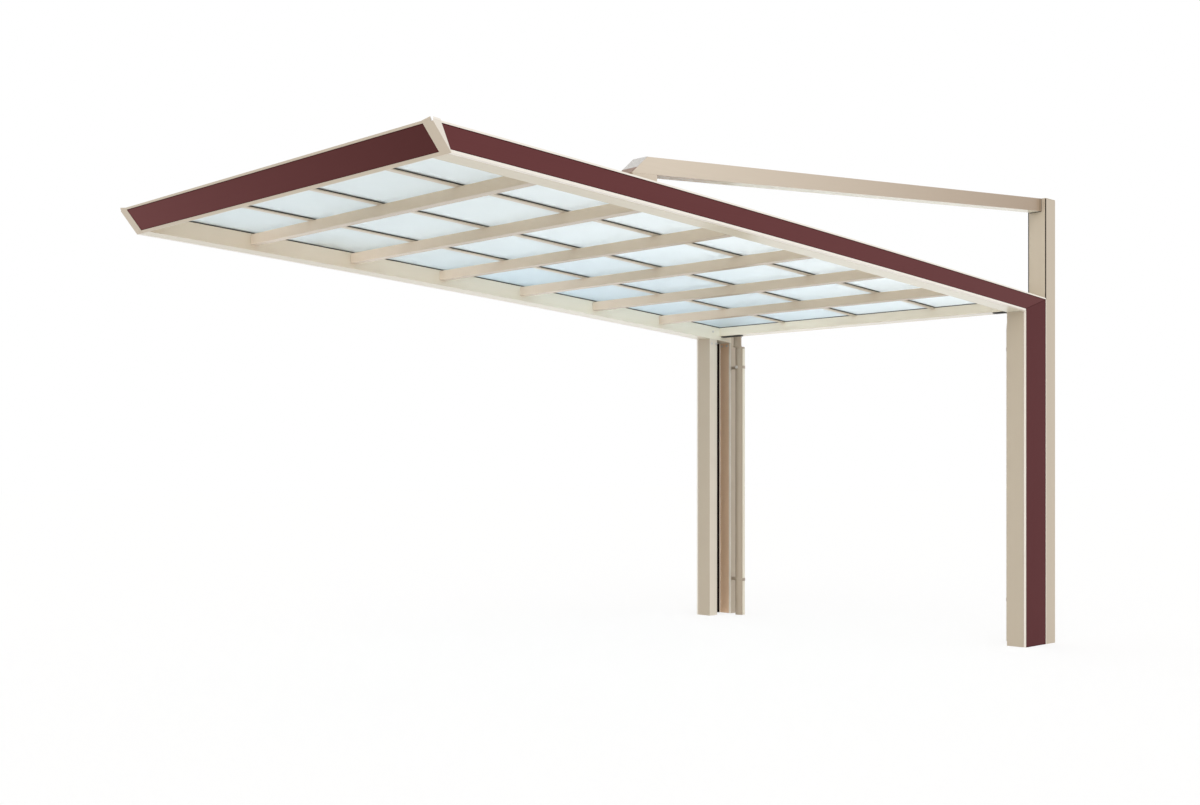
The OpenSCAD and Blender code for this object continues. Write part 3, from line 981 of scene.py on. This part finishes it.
@dataclass
class Fixings:
    """Screws and bolts that show on the frame, each sized by the radius and height of its head."""

    roof: RoofLine
    steel: bpy.types.Material = field(default_factory=STEEL.material)
    clip_half: float = 0.012
    bolt: tuple[float, float] = (0.008, 0.007)
    bolt_shares: tuple[float, float] = (0.28, 0.86)
    bolt_drop: float = 0.040
    screw: tuple[float, float] = (0.007, 0.006)
    screw_half: float = 0.027
    screw_drop: float = 0.044
    clip_screw: tuple[float, float] = (0.0095, 0.009)
    beam_screw: tuple[float, float] = (0.007, 0.005)
    beam_back: float = 0.082
    beam_drop: float = 0.057
    strip_screw: tuple[float, float] = (0.005, 0.004)
    strip_lift: float = 0.0075

    def build(self) -> None:
        """Place the fixings of both sides and of the roof."""
        for side in Side:
            self._posts(side)
            self._beams(side)
        self._battens()

    def _posts(self, side: Side) -> None:
        """Bolts and screws at the head of the posts, and the screw of the upper pipe clip.

        Args:
            side: Which side.
        """
        inward = Vector((-side.out, 0.0, 0.0))
        ahead = Vector((0.0, -1.0, 0.0))
        lo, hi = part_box(side.node("front_post"))
        x = side.inner((lo, hi))
        piece = Workpiece(side.node("post_bolts"))
        for share in self.bolt_shares:
            y = lo.y + (hi.y - lo.y) * share
            piece.head(Vector((x, y, hi.z - self.bolt_drop)), inward, *self.bolt, Workpiece.HEX)
        tall_lo, tall_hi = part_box(side.node("tall_post"))
        middle = (tall_lo.x + tall_hi.x) / 2
        for shift in (-self.screw_half, self.screw_half):
            piece.head(Vector((middle + shift, tall_lo.y, hi.z - self.screw_drop)), ahead, *self.screw)
        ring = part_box(side.node("pipe_clips"))
        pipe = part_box(side.node("downpipe"))
        across = (pipe[0].x + pipe[1].x) / 2
        piece.head(Vector((across, ring[0].y, ring[1].z - self.clip_half)), ahead, *self.clip_screw)
        piece.done(self.steel, smooth=True)

    def _beams(self, side: Side) -> None:
        """Screw at the side beam's joint with the rear beam.

        Args:
            side: Which side.
        """
        inward = Vector((-side.out, 0.0, 0.0))
        x = side.inner(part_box(side.node("side_beam")))
        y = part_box("rear_beam")[0].y - self.beam_back
        piece = Workpiece(side.node("beam_screws"))
        piece.head(Vector((x, y, self.roof.band(y, self.beam_drop))), inward, *self.beam_screw)
        piece.done(self.steel, smooth=True)

    def _battens(self) -> None:
        """Screws through the cover strips over every rafter."""
        up = Vector((0.0, 0.0, 1.0))
        piece = Workpiece("cover_strip_screws")
        for i in BATTENS:
            lo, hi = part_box(f"batten_{i}")
            middle = (lo.x + hi.x) / 2
            for k in RAFTERS:
                r_lo, r_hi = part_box(f"rafter_{k}")
                y = (r_lo.y + r_hi.y) / 2
                piece.head(Vector((middle, y, self.roof.z(y, -self.strip_lift))), up, *self.strip_screw)
        piece.done(self.steel, smooth=True)


@dataclass
class NoseCaps:
    """End plates on the slanted noses of the hanging beams, with painted shade on their lower part."""

    thick: float = 0.002
    share: float = 0.66
    wider: float = 0.014
    tip: float = 0.01
    reach: float = 0.3

    def build(self) -> None:
        """Close both noses with a grey plate above and a brown sheet of painted shade below."""
        cap, lower_shade = NOSE_CAP.material(), BROWN_SHADE.material()
        for side in Side:
            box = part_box(side.node("hanging_beam"))
            foot, top = self._ends(side)
            x0, x1 = sorted((side.inner(box) - side.out * self.wider, side.outer(box)))
            along = top - foot
            out = Vector((0.0, -along.z, along.y)).normalized()
            for name, start, end, finish in (
                    ("nose_cap", 1.0 - self.share, 1.0, cap), ("nose_toe", 0.0, 1.0 - self.share, lower_shade)):
                a, b = foot + along * start, foot + along * end
                piece = Workpiece(side.node(name))
                piece.bar([a, b, b + out * self.thick, a + out * self.thick], x0, x1)
                piece.done(finish)

    def _ends(self, side: Side) -> tuple[Vector, Vector]:
        """Foot and top of the slanted end.

        Args:
            side: Which side.

        Returns:
            The two points, with X left at 0.
        """
        verts = bpy.data.objects[side.node("hanging_beam")].data.vertices
        foot = min((v.co for v in verts), key=lambda c: c.y)
        rest = [v.co for v in verts if foot.y + self.tip < v.co.y < foot.y + self.reach]
        top = max(rest, key=lambda c: c.z)
        return Vector((0.0, foot.y, foot.z)), Vector((0.0, top.y, top.z))


@dataclass
class CornerCaps:
    """Raised caps on the two arms of each front corner cover."""

    roof: RoofLine
    dress: CadDress
    rail: float = 0.009
    tall: float = 0.009
    gap: float = 0.0092
    side_wide: float = 0.025
    side_long: float = 0.051
    front_wide: float = 0.072
    front_long: float = 0.031
    set_in: float = 0.001
    side_fall: float = 0.8
    front_fall: float = 0.1

    def build(self) -> None:
        """Cap both corners."""
        for side in Side:
            lo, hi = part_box(side.node("corner_cover"))
            outer = side.outer((lo, hi))
            near, deep = self.set_in, self.side_wide - self.set_in
            piece = Workpiece(side.node("corner_side_cap"))
            self._arm(piece, side, outer, lo.y, [
                (near, near + self.gap, 1.0), (deep, deep + self.gap, 1.0),
                (deep, self.side_long, self.side_fall), (near, self.side_long, self.side_fall)])
            piece.done(self.dress.paint(EDGE, Run.LENGTH))
            piece = Workpiece(side.node("corner_front_cap"))
            self._arm(piece, side, outer, lo.y, [
                (near + self.gap, near, 1.0), (self.front_wide, near, self.front_fall),
                (self.front_wide, self.front_long, self.front_fall),
                (self.front_long + self.gap, self.front_long, 1.0)])
            piece.done(self.dress.paint(BEIGE, Run.UPRIGHT))

    def _arm(self, piece: Workpiece, side: Side, outer: float, front: float,
             corners: list[tuple[float, float, float]]) -> None:
        """Add the cap of one arm.

        Args:
            piece: The mesh to add to.
            side: Which side.
            outer: Place of the outer face.
            front: Place of the front edge.
            corners: Distance inwards, distance behind the front edge, and share of the full height.
        """
        points = []
        for inward, behind, share in corners:
            x, y = outer - side.out * inward, front + behind
            foot = self.roof.band(y) + self.rail
            points += [Vector((x, y, foot)), Vector((x, y, foot + self.tall * share))]
        piece.solid(points)


@dataclass
class Drainage:
    """Downpipes with their outlet necks and a painted highlight strip, and a dark sheet under each end of
    the rear beam that paints the shade in the slot there.
    """

    dress: CadDress
    wall: float = 0.0025
    bead: tuple[int, int, int] = (6, 5, 4)
    edge: float = 0.001
    neck: float = 0.088
    # Dark sheet of painted shade in the slot under each end of the rear beam
    slot_shade_long: float = 0.195
    slot_shade_set: float = 0.020
    slot_shade_deep: float = 0.052
    slot_shade_t: float = 0.008
    # Size of the painted highlight strip down each pipe
    highlight_w: float = 0.026
    highlight_t: float = 0.003
    highlight_proud: float = 0.0006

    def build(self) -> None:
        """Build the drains of both sides."""
        for side in Side:
            self._pipe(side)
            self._slot_shade(side)

    @staticmethod
    def _round(node: bpy.types.Object, level: float) -> tuple[Vector, float]:
        """Middle and radius of the round that a node shows at a level.

        Args:
            node: The CAD node.
            level: Height of the round.

        Returns:
            Its middle, at height 0, and its radius.
        """
        ring = [v.co for v in node.data.vertices if abs(v.co.z - level) < TIGHT]
        lo = Vector((min(p.x for p in ring), min(p.y for p in ring), 0.0))
        hi = Vector((max(p.x for p in ring), max(p.y for p in ring), 0.0))
        return (lo + hi) / 2, (hi.x - lo.x) / 2

    def _pipe(self, side: Side) -> None:
        """Turn a downpipe with a rolled rim and the beaded neck that feeds it.

        Args:
            side: Which side.
        """
        name = side.node("downpipe")
        node = bpy.data.objects[name]
        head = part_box(name)[1].z
        centre, pipe = self._round(node, 0.0)
        feed, throat = self._round(node, head)
        rim = head - self.neck
        e = self.wall
        foot, groove, top = (count * e for count in self.bead)
        piece = Workpiece(f"{name}_turned")
        piece.turned([
            (0.0, e), (pipe - e, e), (pipe - e, 0.0), (pipe - e / 2, 0.0), (pipe, e / 2),
            (pipe, rim - foot), (pipe - e / 2, rim - groove), (pipe, rim - top), (pipe, rim - e),
            (pipe - e, rim), (0.0, rim)], centre)
        piece.turned([
            (0.0, rim - e), (throat, rim - e), (throat, rim + top), (throat - e, rim + groove),
            (throat - e, head - groove), (throat, head - top), (throat, head), (0.0, head)], feed)
        piece.done(self.dress.paint(PIPE, Run.UPRIGHT), smooth=True, replaces=name)
        self._highlight_strip(side, centre, pipe, rim - foot)

    def _highlight_strip(self, side: Side, centre: Vector, radius: float, top: float) -> None:
        """Pale strip down the inner side of a downpipe: a painted highlight along the pipe.

        Args:
            side: Which side.
            centre: Middle of the pipe.
            radius: Radius of the pipe.
            top: Upper end of the strip.
        """
        face = centre.x - side.out * radius
        x = sorted((face + side.out * self.highlight_t, face - side.out * self.highlight_proud))
        half = self.highlight_w / 2
        piece = Workpiece(side.node("pipe_rib"))
        piece.block((x[0], centre.y - half, 0.0), (x[1], centre.y + half, top), self.edge)
        piece.done(self.dress.paint(PALE, Run.UPRIGHT))

    def _slot_shade(self, side: Side) -> None:
        """Lay the dark sheet under the rear beam, ahead of the outlet: painted shade in the slot there.

        Args:
            side: Which side.
        """
        lo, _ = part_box("rear_beam")
        x = side.inner(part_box(side.node("side_beam")))
        ends = sorted((x, x - side.out * self.slot_shade_long))
        y = lo.y + self.slot_shade_set
        piece = Workpiece(side.node("rear_flange"))
        piece.block((ends[0], y, lo.z - self.slot_shade_t), (ends[1], y + self.slot_shade_deep, lo.z), self.edge)
        piece.done(SEAL_AND_SLOT_SHADE.material())


@dataclass
class PostTrim:
    """Trim of the posts: panel edge, corner strips of painted shade and highlight, beam joint with its
    painted shadow, dark sheet on the panel's inner face and painted niche shade.
    """

    roof: RoofLine
    dress: CadDress
    line: float = 0.0022
    proud: float = 0.0006
    set_in: float = 0.0002
    foot_gap: float = 0.002
    head_gap: float = 0.004
    rebate_w: float = 0.007
    rebate_d: float = 0.005
    web: float = 0.012
    stile: float = 0.018
    frame_t: float = 0.025
    edge_set: float = 0.006
    foot_w: float = 0.018
    gap_end: float = 0.016
    beam_h: float = 0.119
    joint: float = 0.004
    joint_gap: float = 0.020
    joint_foot: float = 0.001
    joint_head: float = 0.002

    def build(self) -> None:
        """Trim both post pairs."""
        strip, edge = JOINT_AND_SHADE.material(), BROWN_SHADE.material()
        panel_dark, niche = PANEL_DARK.material(), NICHE.material()
        for side in Side:
            self._edge(side, edge)
            self._corners(side, strip)
            self._beam_joint(side, strip)
            self._back(side, panel_dark)
            self._niche(side, niche)

    def _edge(self, side: Side, finish: bpy.types.Material) -> None:
        """Beige overlap on the cream edge of the post panel, and the fine dark line beside it, painted shade
        of a groove.

        Args:
            side: Which side.
            finish: Finish of the line.
        """
        lo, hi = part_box(side.node("post_frame"))
        inner = side.inner((lo, hi))
        stops = [inner + side.out * step for step in (0.0, self.edge_set, self.edge_set + self.line)]
        for name, pair, look in (("edge_lap", stops[:2], self.dress.paint(POST, Run.UPRIGHT)),
                                 ("edge_line", stops[1:], finish)):
            x0, x1 = sorted(pair)
            piece = Workpiece(side.node(name))
            piece.block((x0, lo.y - self.proud, self.foot_gap), (x1, lo.y, hi.z - self.head_gap))
            piece.done(look)

    def _corners(self, side: Side, finish: bpy.types.Material) -> None:
        """Strips in the rebates at the tall post's front corners: painted shade above the roof and a painted
        highlight below it.

        Args:
            side: Which side.
            finish: Finish of the painted shade strips.
        """
        lo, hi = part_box(side.node("tall_post"))
        roof = self.roof.band(lo.y)
        rebates = ((lo.x + self.set_in, lo.x + self.rebate_w), (hi.x - self.rebate_w, hi.x - self.set_in))
        dark = Workpiece(side.node("corner_strips"))
        piece = Workpiece(side.node("foot_strips"))
        for x0, x1 in rebates:
            dark.block((x0, lo.y + self.set_in, roof), (x1, lo.y + self.rebate_d, hi.z))
            piece.block((x0, lo.y + self.set_in, 0.0), (x1, lo.y + self.rebate_d, roof))
        dark.done(finish)
        # Wider painted highlight on the post's inner front edge, beside the niche
        inner = side.inner((lo, hi))
        x0, x1 = sorted((inner + side.out * self.rebate_w, inner + side.out * self.foot_w))
        piece.block((x0, lo.y - self.proud, 0.0), (x1, lo.y, self.roof.band(lo.y, self.beam_h)))
        piece.done(self.dress.paint(FOOT, Run.UPRIGHT))

    def _beam_joint(self, side: Side, finish: bpy.types.Material) -> None:
        """Dark lines round the end of the hanging beam at the tall post: joint lines at its sides and a
        painted shadow line under it.

        Args:
            side: Which side.
            finish: Finish of the lines.
        """
        lo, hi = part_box(side.node("hanging_beam"))
        verts = bpy.data.objects[side.node("hanging_beam")].data.vertices
        foot = min(v.co.z for v in verts if v.co.y > hi.y - LOOSE)
        piece = Workpiece(side.node("beam_joint"))
        for y, wide in ((hi.y, self.joint), (hi.y - self.joint_gap, self.joint / 2)):
            for x0, x1 in ((lo.x - self.proud, lo.x), (hi.x, hi.x + self.proud)):
                piece.block((x0, y - wide, foot + self.joint_foot), (x1, y, hi.z - self.joint_head))
        # Painted shadow line on the post under the beam's end
        piece.block((lo.x, hi.y - self.joint, foot - self.joint), (hi.x, hi.y, foot))
        piece.done(finish)

    def _back(self, side: Side, finish: bpy.types.Material) -> None:
        """Near-black sheet on the coloured post panel's inner face, between front post and rear stile.

        Args:
            side: Which side.
            finish: Finish of the dark sheet.
        """
        outer = side.outer(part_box(side.node("tall_post")))
        face, edge = (outer - side.out * deep for deep in (self.web, self.frame_t))
        face_in, edge_in = (x - side.out * self.proud for x in (face, edge))
        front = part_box(side.node("front_post"))[1].y
        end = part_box(side.node("post_frame"))[1].y
        rear = end - self.stile
        piece = Workpiece(side.node("panel_back"))
        top = self.roof.band(rear, self.beam_h) - self.line
        for ends, y0, y1 in (((face, face_in), front, rear), ((face, edge_in), rear - self.proud, rear),
                             ((edge, edge_in), rear, end - self.gap_end)):
            x0, x1 = sorted(ends)
            piece.block((x0, y0, self.foot_gap), (x1, y1, top))
        piece.done(finish)

    def _niche(self, side: Side, finish: bpy.types.Material) -> None:
        """Brown sheet on the tall post's face between post panel and pipe, under the side beam: painted
        shade, warmed by the red light from the panel.

        Args:
            side: Which side.
            finish: Finish of the painted shade.
        """
        box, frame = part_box(side.node("tall_post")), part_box(side.node("post_frame"))
        front = box[0].y
        x0, x1 = sorted((side.inner(box) + side.out * self.foot_w, side.inner(frame)))
        piece = Workpiece(side.node("niche_plate"))
        top = self.roof.band(front, self.beam_h) - self.proud
        piece.block((x0, front - self.proud, self.foot_gap), (x1, front, top))
        piece.done(finish)


@dataclass
class Studio:
    """Pale floor, soft light and the camera."""

    sky: float = 0.80
    key: float = 0.85
    lit_floor: float = 0.45
    seen_floor: float = 0.76
    floor_glow: float = 1.052
    floor_tint: Colour = (0.92, 0.92, 0.92)
    floor_half: float = 60.0
    floor_drop: float = 0.0005
    sky_tint: Colour = (1.0, 0.99, 0.975)
    key_tint: Colour = (1.0, 0.985, 0.96)
    key_aim: Triple = (-0.52, 0.74, -0.42)
    key_spread: float = 55.0
    eye: Triple = (4.9485, -9.036, 1.221)
    azimuth: float = 46.0925
    lens: float = 42.312
    sensor: float = 36.0
    shift: float = 0.05404
    far: float = 200.0

    def build(self) -> None:
        """Set up floor, world, lamp and camera."""
        scene = bpy.context.scene
        scene.view_settings.view_transform = "Standard"
        self._floor()
        self._world(scene)
        self._lamp(scene)
        self._camera(scene)

    @staticmethod
    def _seen(graph: NodeGraph) -> bpy.types.NodeSocket:
        """Factor that is 1 where the camera, a mirror or a pane looks at the backdrop.

        Args:
            graph: The tree to build in.

        Returns:
            The factor.
        """
        path = graph.add("ShaderNodeLightPath")
        seen = graph.math("MAXIMUM", path.outputs["Is Camera Ray"], path.outputs["Is Glossy Ray"])
        return graph.math("MAXIMUM", seen, path.outputs["Is Transmission Ray"])

    def _floor(self) -> None:
        """White floor that still takes the object's shadow."""
        mesh = bpy.data.meshes.new("floor")
        bm = bmesh.new()
        bmesh.ops.create_grid(bm, x_segments=1, y_segments=1, size=self.floor_half,
                              matrix=Matrix.Translation((0.0, 0.0, -self.floor_drop)))
        bm.to_mesh(mesh)
        bm.free()
        floor = bpy.data.objects.new("floor", mesh)
        bpy.context.scene.collection.objects.link(floor)
        material = bpy.data.materials.new("floor")
        material.use_nodes = True
        graph = NodeGraph(material.node_tree)
        matt = graph.add("ShaderNodeBsdfDiffuse")
        matt.inputs["Color"].default_value = (*self.floor_tint, 1.0)
        glow = graph.add("ShaderNodeEmission")
        glow.inputs["Strength"].default_value = self.floor_glow
        mix = graph.add("ShaderNodeMixShader")
        share = graph.span(self._seen(graph), (0.0, 1.0), self.lit_floor, self.seen_floor)
        graph.join(share, mix.inputs[0])
        graph.join(matt.outputs[0], mix.inputs[1])
        graph.join(glow.outputs[0], mix.inputs[2])
        graph.join(mix.outputs[0], graph.add("ShaderNodeOutputMaterial").inputs["Surface"])
        mesh.materials.append(material)

    def _world(self, scene: bpy.types.Scene) -> None:
        """White backdrop, with a plain soft sky for the light.

        Args:
            scene: The scene to light.
        """
        world = bpy.data.worlds.new("studio")
        world.use_nodes = True
        scene.world = world
        graph = NodeGraph(world.node_tree)
        light = graph.add("ShaderNodeBackground")
        light.inputs["Color"].default_value = (*self.sky_tint, 1.0)
        light.inputs["Strength"].default_value = self.sky
        white = graph.add("ShaderNodeBackground")
        white.inputs["Color"].default_value = (1.0, 1.0, 1.0, 1.0)
        white.inputs["Strength"].default_value = 1.0
        mix = graph.add("ShaderNodeMixShader")
        graph.join(self._seen(graph), mix.inputs[0])
        graph.join(light.outputs[0], mix.inputs[1])
        graph.join(white.outputs[0], mix.inputs[2])
        graph.join(mix.outputs[0], graph.add("ShaderNodeOutputWorld").inputs["Surface"])

    def _lamp(self, scene: bpy.types.Scene) -> None:
        """Soft key light from the front right.

        Args:
            scene: The scene to light.
        """
        lamp = bpy.data.lights.new("key", "SUN")
        lamp.energy = self.key
        lamp.angle = math.radians(self.key_spread)
        lamp.color = self.key_tint
        key = bpy.data.objects.new("key", lamp)
        key.rotation_euler = Vector(self.key_aim).to_track_quat("-Z", "Y").to_euler()
        scene.collection.objects.link(key)

    def _camera(self, scene: bpy.types.Scene) -> None:
        """Level camera at the photograph's place.

        Args:
            scene: The scene that it belongs to.
        """
        data = bpy.data.cameras.new("camera")
        data.sensor_fit = "HORIZONTAL"
        data.sensor_width = self.sensor
        data.lens = self.lens
        data.shift_y = self.shift
        data.clip_end = self.far
        camera = bpy.data.objects.new("camera", data)
        camera.location = self.eye
        camera.rotation_euler = (math.pi / 2, 0.0, math.radians(self.azimuth))
        scene.collection.objects.link(camera)
        scene.camera = camera


def main() -> None:
    """Build the studio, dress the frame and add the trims."""
    logging.basicConfig(level=logging.INFO, format="%(name)s: %(message)s")
    for stray in list(bpy.data.objects):
        bpy.data.objects.remove(stray)
    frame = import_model()
    Studio().build()
    dress = CadDress(frame["nodes"])
    dress.dress()
    roof = RoofLine.read(frame["nodes"]["sheet_1"])
    RoofSeals(roof).build()
    BandShadowLines(roof).build()
    Fixings(roof).build()
    NoseCaps().build()
    CornerCaps(roof, dress).build()
    Drainage(dress).build()
    PostTrim(roof, dress).build()


if __name__ == "__main__":
    main()
